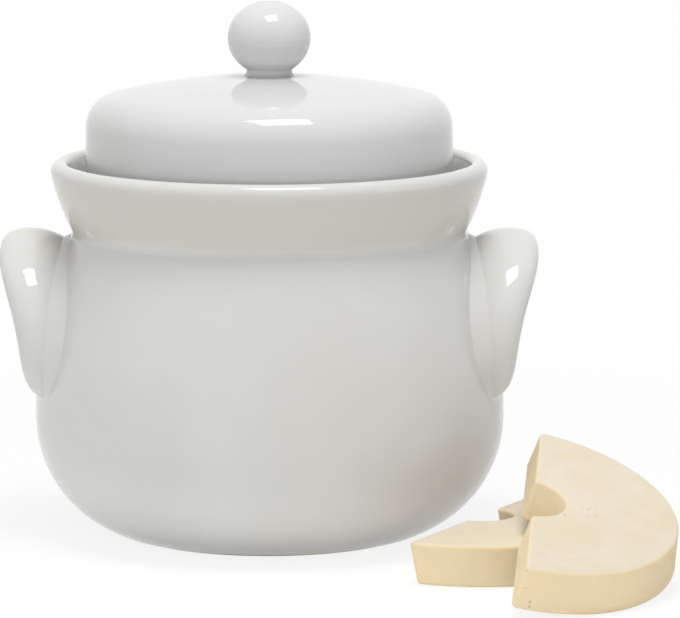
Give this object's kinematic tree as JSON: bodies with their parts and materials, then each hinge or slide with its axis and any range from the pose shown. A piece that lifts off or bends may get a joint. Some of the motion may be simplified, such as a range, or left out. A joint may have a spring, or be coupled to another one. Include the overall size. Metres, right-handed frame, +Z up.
{
  "type": "preserving crock",
  "caption": "Round-bellied glazed stoneware preserving crock with ears, a lid whose skirt stands in a water gutter, and half-disc weight stones lying beside it",
  "frame": {"origin": "on the floor, on the pot's axis, in the plane of its foot ring", "axes": "+Z up along the pot's axis, the ears on +X and -X, the weight stones toward +X and -Y"},
  "size_m": [0.3256, 0.3284, 0.2629],
  "materials": {
    "pot_glaze": "glossy pale grey glaze, worn bare on the foot ring",
    "lid_glaze": "glossy pale grey glaze",
    "stone_clay": "matt unglazed fired clay"
  },
  "bodies": {
    "root": {"crock_pot": "pot_glaze", "crock_lid": "lid_glaze", "weight_stone_rear": "stone_clay", "weight_stone_front": "stone_clay"}
  },
  "joints": []
}
